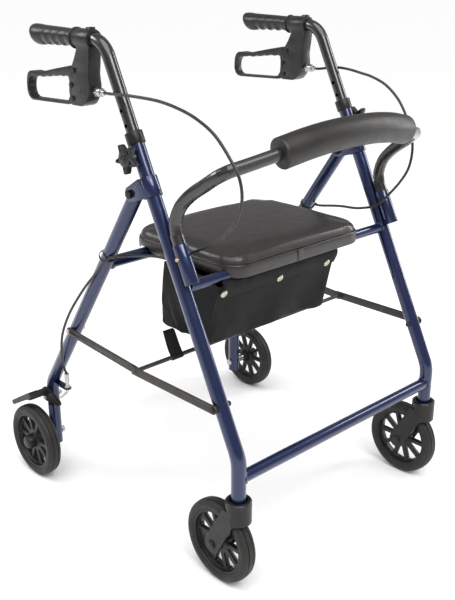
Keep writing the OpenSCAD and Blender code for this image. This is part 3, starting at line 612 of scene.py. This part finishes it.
def tyre_outline(half, outer):
    """Closed section of a solid tyre: flat walls, a step at the shoulder, and two grooves in the tread."""
    below_tread_and_in = [
        (0.0175, 0.003), (0.0155, 0.0014), (0.0105, 0), (0.009, 0.0002), (0.0066, 0.0008), (0.006, 0.0019),
        (0.0046, 0.0022), (0.0028, 0.0034), (0.0014, 0.0056), (0.0007, 0.0078), (0.0005, 0.0088),
        (0.0018, 0.0094), (0.0018, 0.0104), (0.0002, 0.011), (0, 0.0142)]
    one_side = [(outer - below, -half + inward) for below, inward in below_tread_and_in]
    return one_side + [(radius, -x) for radius, x in reversed(one_side)]


def add_tyres():
    for end in ("front", "rear"):
        for side in SIDES:
            node = f"{end}_tyre_{side}"
            low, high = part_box(node)
            outline = tyre_outline((high.x - low.x) / 2, (high.z - low.z) / 2)
            tyre = turned(node + "_moulded", outline, middle_of(node), steps=96)
            fit(tyre, "tyre_rubber", BODY_OF[node], [node])


# ---------- seat ----------

SEAT_CORNER = 0.043


def seat_blank(low, high, corner, edge):
    """Closed blank of the cushion: a slab with rounded corners in plan and rounded upper edges."""
    bpy.ops.object.select_all(action="DESELECT")
    bpy.ops.mesh.primitive_cube_add(size=1, location=(low + high) / 2)
    blank = bpy.context.object
    blank.scale = high - low
    place_in_mesh(blank)
    edit(blank)
    pick_edges(blank, lambda a, b: abs(a.z - b.z) > 0.001)
    bpy.ops.mesh.bevel(offset=corner, segments=10, affect="EDGES")
    pick_edges(blank, lambda a, b: min(a.z, b.z) > high.z - 0.0005)
    bpy.ops.mesh.bevel(offset=edge, segments=4, affect="EDGES")
    leave_edit()
    return blank


def swell(piece, cap, held_below, pressure=4.0, frames=20):
    """Blows the pad up as stuffed cloth, and caps how far each point moves. Points below a height stay."""
    add_modifier(piece, "REMESH", mode="VOXEL", voxel_size=0.005, use_smooth_shade=True)
    apply_modifiers(piece)
    start = [vert.co.copy() for vert in piece.data.vertices]
    held = piece.vertex_groups.new(name="held")
    held.add([v.index for v in piece.data.vertices if v.co.z < held_below], 1.0, "REPLACE")
    cloth = add_modifier(piece, "CLOTH")
    cloth.settings.quality = 6
    cloth.settings.mass = 0.4
    cloth.settings.tension_stiffness = 12
    cloth.settings.compression_stiffness = 12
    cloth.settings.bending_stiffness = 0.6
    cloth.settings.use_pressure = True
    cloth.settings.uniform_pressure_force = pressure
    cloth.settings.vertex_group_mass = "held"
    cloth.settings.effector_weights.gravity = 0
    cloth.point_cache.frame_start = 1
    cloth.point_cache.frame_end = frames
    for number in range(1, frames + 1):
        bpy.context.scene.frame_set(number)
    apply_modifiers(piece)
    bpy.context.scene.frame_set(1)
    for vert, before in zip(piece.data.vertices, start):
        moved = vert.co - before
        if moved.length > 0:
            vert.co = before + moved.normalized() * cap * math.tanh(moved.length / cap)
    piece.vertex_groups.clear()


def add_seat_cushion():
    """Vinyl-covered foam on the seat board, with a soft roll round its edge."""
    low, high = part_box("seat_pad")
    board_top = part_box("seat_board")[1].z
    room_to_swell = 0.0015
    crown = 0.004
    cushion = seat_blank(Vector((low.x + room_to_swell, low.y + room_to_swell, board_top - 0.008)),
                         Vector((high.x - room_to_swell, high.y - room_to_swell, high.z - 0.001)),
                         SEAT_CORNER, 0.012)
    cushion.name = "seat_cushion"
    swell(cushion, 0.004, board_top - 0.004)
    add_modifier(cushion, "SMOOTH", factor=0.5, iterations=5)
    apply_modifiers(cushion)
    middle = (low + high) / 2
    for vert in cushion.data.vertices:
        across = (vert.co.x - middle.x) / (high.x - middle.x)
        along = (vert.co.y - middle.y) / (high.y - middle.y)
        if vert.co.z > board_top:
            vert.co.z += crown * max(0, 1 - across ** 2) * max(0, 1 - along ** 4)
    add_modifier(cushion, "SUBSURF", levels=1, render_levels=1)
    apply_modifiers(cushion)
    smooth(cushion, 60)
    fit(cushion, "vinyl", "seat", ["seat_pad"])


def plan_ring(low, high, corner, height, steps=10, along=16):
    """Rounded rectangle at a height, counter-clockwise from above, with extra points along its sides."""
    ring = []
    centres = [(high.x - corner, high.y - corner, 0), (low.x + corner, high.y - corner, 90),
               (low.x + corner, low.y + corner, 180), (high.x - corner, low.y + corner, 270)]
    for number, (x, y, turn) in enumerate(centres):
        for k in range(steps + 1):
            angle = math.radians(turn + 90 * k / steps)
            ring.append(Vector((x + corner * math.cos(angle), y + corner * math.sin(angle), height)))
        nx, ny, nturn = centres[(number + 1) % 4]
        angle = math.radians(nturn)
        start = ring[-1]
        end = Vector((nx + corner * math.cos(angle), ny + corner * math.sin(angle), height))
        for k in range(1, along):
            ring.append(start.lerp(end, k / along))
    return ring


def add_seat_board():
    """The board with its corners rounded to sit inside the vinyl band."""
    board = softened("seat_board", 0.0008)
    low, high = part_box("seat_pad")
    board_low, board_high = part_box("seat_board")
    inset = Vector((0.0045, 0.0045, 0))
    past = 0.01
    levels = (board_low.z - past, board_high.z + past)
    cutter = loft("corner_cutter", [plan_ring(low + inset, high - inset, 0.039, level) for level in levels])
    face_outward(cutter)
    add_modifier(board, "BOOLEAN", operation="INTERSECT", object=cutter, solver="EXACT")
    apply_modifiers(board)
    bpy.data.objects.remove(cutter)


def add_seat_skirt():
    """Vinyl band round the board, tucked in under the cushion's roll, with a lapped seam in front.
    Its lower edge rises where the rear crossbar passes under the seat."""
    low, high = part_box("seat_pad")
    board_low, board_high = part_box("seat_board")
    bar_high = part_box("rear_crossbar")[1]
    bar_y = middle_of("rear_crossbar").y
    top = board_high.z - 0.001
    bottom = board_low.z - 0.0006
    notch_half = 0.0215
    notch_slope = 0.006
    end_zone = 0.006
    inset_and_height = [
        (0.0030, top), (0.0016, top - 0.0025), (0.0009, top - 0.007), (0.0006, (top + bottom) / 2),
        (0.0008, bottom + 0.004), (0.0014, bottom + 0.0012), (0.0024, bottom), (0.0036, bottom + 0.001),
        (0.0038, bottom + 0.004), (0.0038, top - 0.003)]
    rings = []
    for inset, height in inset_and_height:
        shrink = Vector((inset, inset, 0))
        ring = plan_ring(low + shrink, high - shrink, SEAT_CORNER - inset, height, along=60)
        for point in ring:
            over_bar = min(max((notch_half - abs(point.y - bar_y)) / notch_slope, 0), 1)
            lifted = max(point.z, bar_high.z + 0.0016 + 0.6 * max(point.z - bottom, 0))
            if point.x < low.x + end_zone or point.x > high.x - end_zone:
                point.z += (min(lifted, top) - point.z) * over_bar
        rings.append(ring)
    skirt = loft("seat_skirt", rings + [rings[0]], capped=False)
    face_outward(skirt)
    add_modifier(skirt, "SUBSURF", levels=1, render_levels=1)
    apply_modifiers(skirt)
    smooth(skirt, 60)
    fit(skirt, "vinyl", "seat")
    add_seat_seam(low.y + 0.0006, bottom, top)


def add_seat_seam(front, bottom, top):
    """Lapped joint of the band at the middle of the front: a thin tab over the band's end."""
    bpy.ops.object.select_all(action="DESELECT")
    bpy.ops.mesh.primitive_cube_add(size=1, location=(-0.0085, front - 0.0001, (bottom + top) / 2 + 0.001))
    lap = bpy.context.object
    lap.name = "seat_skirt_lap"
    lap.scale = (0.013, 0.0016, top - bottom - 0.004)
    place_in_mesh(lap)
    edit(lap)
    bpy.ops.mesh.select_all(action="SELECT")
    bpy.ops.mesh.subdivide(number_cuts=6)
    leave_edit()
    add_modifier(lap, "BEVEL", width=0.0005, segments=2, limit_method="ANGLE")
    apply_modifiers(lap)
    smooth(lap)
    fit(lap, "vinyl", "seat")


# ---------- backrest ----------

# Middle line of the backrest tube under the foam, from the foam's left end to the middle of the tube
BACK_HALF = [
    (0.150, -0.279, 0.734), (0.106, -0.287, 0.743), (0.056, -0.292, 0.749), (0, -0.294, 0.751)]


def add_backrest_foam():
    """Foam sleeve on the backrest tube, cut square at both ends, with a small rounded edge."""
    half = [Vector(point) for point in BACK_HALF]
    line = half + [Vector((-p.x, p.y, p.z)) for p in reversed(half[:-1])]
    route = smooth_route(line, 8)
    overhang = 0.006
    first = (route[0] - route[1]).normalized()
    last = (route[-1] - route[-2]).normalized()
    route = [route[0] + first * overhang, *route, route[-1] + last * overhang]
    low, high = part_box("backrest_pad")
    radius = min((high.z - low.z) / 2, 0.0255)
    tube_r = 0.0112
    rim = [(tube_r, 0.0022), (tube_r + 0.0012, 0.0004), (radius - 0.0030, 0), (radius - 0.0010, 0.0006),
           (radius, 0.0026)]
    left_end = [route[0] - first * depth for _, depth in rim]
    right_end = [route[-1] - last * depth for _, depth in reversed(rim)]
    rim_radii = [r for r, _ in rim]
    radii = rim_radii + [radius] * (len(route) - 2) + rim_radii[::-1]
    path = left_end + route[1:-1] + right_end
    rings = rings_along(path, lambda k: round_section(radii[k], 40))
    foam = loft("backrest_foam", rings + [rings[0]], capped=False)
    face_outward(foam)
    smooth(foam, 50)
    fit(foam, "vinyl", "root", ["backrest_pad"])
    foam.data.materials[0] = MATERIALS["foam"]


# ---------- bag ----------

BAG_ROWS = 22


def bag_push(run, level):
    """How far broad folds, and finer ones lower down, push the cloth out at a place along a wall."""
    folds = 0.0026 * math.sin(run * 47 + 2.2 * level) + 0.0014 * math.sin(run * 131 - 5 * level + 1.3)
    creases = 0.0015 * math.sin(run * 190 + 7 * level) * max(0, level - 0.35)
    return folds, creases


def bag_ring(level):
    """Outline of the bag at a level, 0 at its top edge and 1 at its floor, with its folds and sags."""
    low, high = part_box("under_seat_bag")
    left = -0.196 + 0.026 * level
    right = 0.108 + 0.023 * level
    front = low.y + 0.0015 + 0.05 * level ** 0.9
    rear = -0.036 + 0.042 * level
    height = high.z - 0.001 - (high.z - low.z - 0.002) * level
    ring = plan_ring(Vector((left, front, 0)), Vector((right, rear, 0)), 0.009, height, steps=4)
    middle = Vector(((left + right) / 2, (front + rear) / 2, height))
    belly = math.sin(math.pi * min(level * 1.05, 1)) ** 0.8
    gather_x = -0.172
    top_zone = 0.3
    hem_zone = 0.8
    for point in ring:
        away = point - middle
        on_side = abs(away.x) > (right - left) / 2 - 0.003
        run = point.y * 0.7 if on_side else point.x
        folds, creases = bag_push(run, level)
        gathered = math.exp(-((point.x - gather_x) / 0.016) ** 2)
        creases += 0.004 * gathered * math.sin(run * 260 + 3 * level)
        push = (folds * (0.35 + 0.9 * level) + creases * level) * min(1, level * 3)
        if on_side:
            drawn_in = push + 0.001 - 0.007 * belly * (1 - (away.y / 0.11) ** 2)
            point.x += math.copysign(min(drawn_in, 0.0), away.x)
        elif away.y > 0:
            point.y += min(push - 0.002 + 0.006 * belly, 0.004)
        else:
            point.y -= push - 0.004 * belly
        if level < top_zone and point.y > front + 0.004:
            behind_hem = min(1, (point.y - front - 0.004) / 0.012)
            point.z += 0.0115 * (1 - level / top_zone) * behind_hem
        if level > hem_zone:
            hang = 0.003 * math.sin(run * 33 + 0.8) + 0.0022 * math.sin(run * 96)
            hang += 0.0016 * math.sin(run * 210)
            point.z += (level - hem_zone) * 5 * (hang + 0.004)
    return ring


def add_bag():
    """Unlined cloth bag: four walls and a floor, open at the top."""
    rings = [bag_ring(row / BAG_ROWS) for row in range(BAG_ROWS + 1)]
    edge = rings[-1]
    centre = sum(edge, Vector()) / len(edge)
    floor_rings = []
    for shrink, drop in ((0.96, 0.0012), (0.85, 0.0008), (0.65, -0.001), (0.4, -0.002), (0.15, -0.002)):
        sag = Vector((0, 0, drop))
        floor_rings.append([centre + (point - centre) * shrink - sag for point in edge])
    bag = loft("cloth_bag", list(reversed(rings + floor_rings)), capped=False)
    edit(bag)
    bpy.ops.mesh.select_mode(type="EDGE")
    shape = bmesh.from_edit_mesh(bag.data)
    for line in shape.edges:
        if line.is_boundary and (line.verts[0].co - centre).length < 0.05:
            line.select_set(True)
    bmesh.update_edit_mesh(bag.data)
    bpy.ops.mesh.fill()
    bpy.ops.mesh.select_all(action="SELECT")
    bpy.ops.mesh.normals_make_consistent(inside=False)
    leave_edit()
    add_modifier(bag, "SOLIDIFY", thickness=0.0012, offset=-1)
    add_modifier(bag, "SUBSURF", levels=1, render_levels=1)
    apply_modifiers(bag)
    smooth(bag, 60)
    fit(bag, "nylon", replaced=["under_seat_bag"])
    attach(bag, "root")
    fold_with_frame(bag)
    add_bag_band()
    add_bag_snaps()


def fold_with_frame(piece):
    """Gives the piece its own copy of its mesh; nothing here moves the cloth as the frame closes."""
    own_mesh(piece)


def add_bag_band():
    """Hem of the front wall, turned over the seat bar and held by the snaps."""
    low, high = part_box("under_seat_bag")
    bar_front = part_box("seat_bar")[0].y
    start = -0.185
    length = 0.293
    thickness = Vector((0, 0.0011, 0))
    steps = 60
    place_and_rise = [
        (bar_front + 0.001, 0.0075), (low.y + 0.0018, 0.0048), (low.y - 0.0002, 0.0012),
        (low.y - 0.0002, -0.007), (low.y + 0.0026, -0.014), (low.y + 0.0058, -0.0205),
        (low.y + 0.0084, -0.0255)]
    rings = []
    for k in range(steps + 1):
        x = start + length * k / steps
        wave = 0.0006 * math.sin(x * 90) + 0.0004 * math.sin(x * 210 + 1)
        outer = [Vector((x, y - (wave if rise < 0 else 0), high.z + rise + wave * 1.5))
                 for y, rise in place_and_rise]
        inner = [point + thickness for point in reversed(outer)]
        rings.append(outer + inner)
    band = loft("bag_front_hem", rings)
    face_outward(band)
    add_modifier(band, "SUBSURF", levels=1, render_levels=1)
    apply_modifiers(band)
    smooth(band, 50)
    fit(band, "nylon", "root")


def add_bag_snaps():
    """Press studs along the front hem, each a low domed cap that leans with the cloth."""
    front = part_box("under_seat_bag")[0].y
    outline = [(0, 0.0026), (0.0028, 0.0025), (0.0050, 0.0021), (0.0064, 0.0013), (0.0071, 0.0004),
               (0.0070, -0.0006), (0, -0.0006)]
    face_forward = Matrix.Rotation(math.radians(-90), 4, "Z")
    lean = Matrix.Rotation(math.radians(22), 4, "X")
    for number, (x, z) in enumerate([(-0.183, 0.487), (-0.045, 0.481), (0.081, 0.481)]):
        stud = turned(f"bag_stud_{number + 1}", outline, Vector((0, 0, 0)), steps=32)
        y = front + 0.0012 + 0.42 * (0.49 - z)
        stud.matrix_world = Matrix.Translation((x, y, z)) @ lean @ face_forward
        place_in_mesh(stud)
        fit(stud, "zinc", "root")
        stud.data.materials[0] = MATERIALS["nickel"]


def add_lift_strap():
    """Webbing that hangs from the bag's floor and is sewn into a loop round the cross rod."""
    low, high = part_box("lift_strap")
    rod = middle_of("cross_rod")
    bag_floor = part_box("under_seat_bag")[0].z + 0.006
    half = (high.x - low.x) / 2 - 0.0006
    x = (low.x + high.x) / 2
    around = [(math.cos(math.radians(turn)), math.sin(math.radians(turn))) for turn in range(40, -241, -20)]
    reach = 0.0052
    front = [Vector((x, rod.y + 0.024, bag_floor)), Vector((x, rod.y + 0.0195, bag_floor - 0.012)),
             Vector((x, rod.y + 0.011, rod.z + 0.0135))]
    loop = [Vector((x, rod.y + reach * c, rod.z + reach * s)) for c, s in around]
    back = [Vector((x, rod.y + 0.0045, rod.z + 0.0145)), Vector((x, rod.y + 0.0125, bag_floor - 0.016)),
            Vector((x, rod.y + 0.0205, bag_floor - 0.001))]
    route = smooth_route(front + loop + back, 3)
    rings = []
    for k, at in enumerate(route):
        way = (route[min(k + 1, len(route) - 1)] - route[max(k - 1, 0)]).normalized()
        out = way.cross(Vector((1, 0, 0))).normalized() * 0.0007
        wide = Vector((half, 0, 0))
        rings.append([at - wide - out, at + wide - out, at + wide + out, at - wide + out])
    strap = loft("lift_strap_webbing", rings)
    face_outward(strap)
    add_modifier(strap, "BEVEL", width=0.0004, segments=2, limit_method="ANGLE")
    apply_modifiers(strap)
    smooth(strap, 40)
    fit(strap, "nylon", replaced=["lift_strap"])
    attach(strap, "rear_links")
    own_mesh(strap)


# ---------- handles ----------

def grip_stations(length):
    """(distance along the grip, radius) of each ring: flange, hand part, and the flared end."""
    bore = 0.0112
    flange = [(0.0, bore), (0.0, 0.0172), (0.0006, 0.0182), (0.0024, 0.0184), (0.0034, 0.0176),
              (0.0046, 0.0158)]
    steps = 46
    hand = []
    for k in range(steps + 1):
        run = k / steps
        fuller = 0.0010 * math.sin(math.pi * run) + 0.0026 * run ** 3
        hand.append((0.007 + run * (length - 0.03), 0.0146 + fuller))
    flare = [(length - 0.0200, 0.0176), (length - 0.0130, 0.0181), (length - 0.0070, 0.0180),
             (length - 0.0032, 0.0171), (length - 0.0010, 0.0152), (length, 0.0122),
             (length + 0.0002, 0.006), (length + 0.0002, 0.001)]
    return flange + hand + flare


def add_grip(side):
    """Moulded grip: a flange in front, four finger hollows, deepest underneath, and a flared, slanted end."""
    node = "grip_" + side
    low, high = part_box(node)
    centre = Vector((LEG_X * SIDES[side], low.y, (low.z + high.z) / 2))
    length = high.y - low.y - 0.005
    count = 40
    hollows = 4
    slant_zone = 0.045
    rings = []
    for along, radius in grip_stations(length):
        hollow = 0.0
        if 0.010 < along < length - 0.024:
            phase = (along - 0.012) / (length - 0.038)
            hollow = 0.0027 * abs(math.sin(phase * hollows * math.pi)) ** 1.3
        near_end = min(1, max(0, (along - length + slant_zone) / slant_zone))
        slant = 0.0085 * near_end * min(1, radius / 0.017)
        ring = []
        for k in range(count):
            turn = 2 * math.pi * k / count
            underneath = (0.5 - 0.5 * math.sin(turn)) ** 1.1
            reach = radius - hollow * underneath - 0.0004 * max(0, math.sin(turn)) ** 4
            ring.append(centre + Vector((reach * math.cos(turn), along + slant * math.sin(turn),
                                         reach * math.sin(turn))))
        rings.append(ring)
    grip = loft("hand_grip_" + side, rings)
    face_outward(grip)
    add_modifier(grip, "SUBSURF", levels=1, render_levels=1)
    apply_modifiers(grip)
    smooth(grip, 45)
    fit(grip, "grey_plastic", BODY_OF[node], [node])


def add_housing_mark(side):
    """Round ejector mark moulded on the outer face of the brake housing."""
    sign = SIDES[side]
    ridge = [(0.0058, -0.0006), (0.0059, 0.0002), (0.0063, 0.0004), (0.0067, 0.0002), (0.0068, -0.0006)]
    outline = [(radius, x * sign) for radius, x in ridge]
    at = Vector(((LEG_X + 0.0125) * sign, 0.066, 0.803))
    mark = turned("housing_mark_" + side, outline, at, 40)
    fit(mark, "grey_plastic", "handle_" + side)


def add_springs():
    """Coiled return spring between each cable stop and its brake arm."""
    start = Vector((LEG_X, 0.2, 0.191))
    end = Vector((0.271, 0.2115, 0.1755))
    turns = 7
    steps = 18
    coil_r = 0.0026
    wire_r = 0.0006
    way = (end - start).normalized()
    across = way.orthogonal().normalized()
    up = way.cross(across)
    for side, sign in SIDES.items():
        route = []
        for k in range(turns * steps + 1):
            run = k / (turns * steps)
            angle = 2 * math.pi * k / steps
            coil = (across * math.cos(angle) + up * math.sin(angle)) * coil_r
            point = start.lerp(end, run) + coil
            route.append(Vector((point.x * sign, point.y, point.z)))
        spring = tube_along("return_spring_" + side, route, wire_r, 6)
        replaced = ["brake_springs"] if side == "R" else []
        fit(spring, "zinc", "rear_frame", replaced)


# ---------- brake cables ----------

# Points that the front length of each cable passes through, starting at its brake housing
FRONT_CABLE = {
    "R": [
        (-0.260, 0.019, 0.804), (-0.263, 0.010, 0.8046), (-0.269, -0.001, 0.8058), (-0.274, -0.012, 0.8072),
        (-0.2755, -0.026, 0.8082), (-0.275, -0.042, 0.8088), (-0.272, -0.065, 0.809), (-0.266, -0.125, 0.807),
        (-0.263, -0.175, 0.799), (-0.262, -0.213, 0.788), (-0.262, -0.250, 0.770), (-0.261, -0.282, 0.739),
        (-0.259, -0.299, 0.712), (-0.257, -0.301, 0.680), (-0.253, -0.285, 0.648), (-0.249, -0.258, 0.620),
        (-0.244, -0.216, 0.592), (-0.240, -0.166, 0.567)],
    "L": [
        (0.260, 0.019, 0.804), (0.263, 0.010, 0.8046), (0.269, -0.001, 0.8064), (0.274, -0.012, 0.808),
        (0.2755, -0.026, 0.8088), (0.276, -0.043, 0.8082), (0.276, -0.061, 0.8064), (0.276, -0.081, 0.8032),
        (0.275, -0.112, 0.798), (0.274, -0.147, 0.7855), (0.274, -0.178, 0.7615), (0.273, -0.201, 0.730),
        (0.275, -0.213, 0.700), (0.274, -0.218, 0.668), (0.268, -0.216, 0.636), (0.258, -0.206, 0.610),
        (0.247, -0.194, 0.589), (0.240, -0.178, 0.567)],
}
REAR_CABLE = [
    (0.240, -0.160, 0.556), (0.240, -0.120, 0.545), (0.241, -0.080, 0.541), (0.243, -0.050, 0.536),
    (0.247, -0.022, 0.530), (0.255, 0.000, 0.526), (0.269, 0.015, 0.523), (0.274, 0.030, 0.510),
    (0.277, 0.056, 0.482), (0.280, 0.090, 0.446), (0.286, 0.130, 0.392), (0.289, 0.156, 0.343),
    (0.285, 0.172, 0.300), (0.274, 0.188, 0.264), (0.264, 0.198, 0.240), (0.260, 0.200, 0.232)]


def add_cables():
    """Brake cables, made in two lengths each that meet in front of the seat's end."""
    for side, sign in SIDES.items():
        front = [Vector(point) for point in FRONT_CABLE[side]]
        rear = [front[-1]] + [Vector((x * sign, y, z)) for x, y, z in REAR_CABLE]
        loop = tube_along("brake_cable_front_" + side, smooth_route(front, 10), CABLE_R, 14)
        fit(loop, "cable_black", replaced=["cable_front_" + side])
        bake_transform(loop)
        down = tube_along("brake_cable_rear_" + side, smooth_route(rear, 10), CABLE_R, 14)
        fit(down, "cable_black", replaced=["cable_mid" if side == "R" else "cable_low"])
        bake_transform(down)


def add_cable_ties():
    """Nylon tie that holds each cable to its rear leg, with its little buckle."""
    for side, sign in SIDES.items():
        at = Vector((0.2605 * sign, 0.0323, 0.5206))
        lean = Matrix.Rotation(REAR_LEAN, 3, "X")
        section = [(0, -0.0018), (0.0012, -0.0018), (0.0012, 0.0018), (0, 0.0018)]
        rings = []
        count = 40
        for k in range(count + 1):
            turn = 2 * math.pi * k / count
            wide = 0.0136 + 0.0048 * max(0, math.cos(turn)) ** 3
            out = Vector((math.cos(turn) * sign, math.sin(turn), 0))
            rings.append([at + lean @ (out * (wide + reach) + Vector((0, 0, up))) for reach, up in section])
        tie = loft("cable_tie_" + side, rings, capped=False)
        face_outward(tie)
        smooth(tie, 40)
        fit(tie, "black_plastic", "rear_frame")


# ---------- the whole walker ----------

add_camera()
MATERIALS = make_materials()
MATERIALS["foam"] = foam_skin()
MATERIALS["nickel"] = bare_metal("nickel_plate", (0.66, 0.6, 0.48), (0.5, 0.45, 0.35), 0.24)
add_studio()
paint_cad_nodes()
round_the_edges()
add_welds()
add_tyres()
add_seat_board()
add_seat_cushion()
add_seat_skirt()
add_backrest_foam()
add_bag()
add_lift_strap()
for hand in SIDES:
    add_grip(hand)
    add_housing_mark(hand)
add_springs()
add_cables()
add_cable_ties()
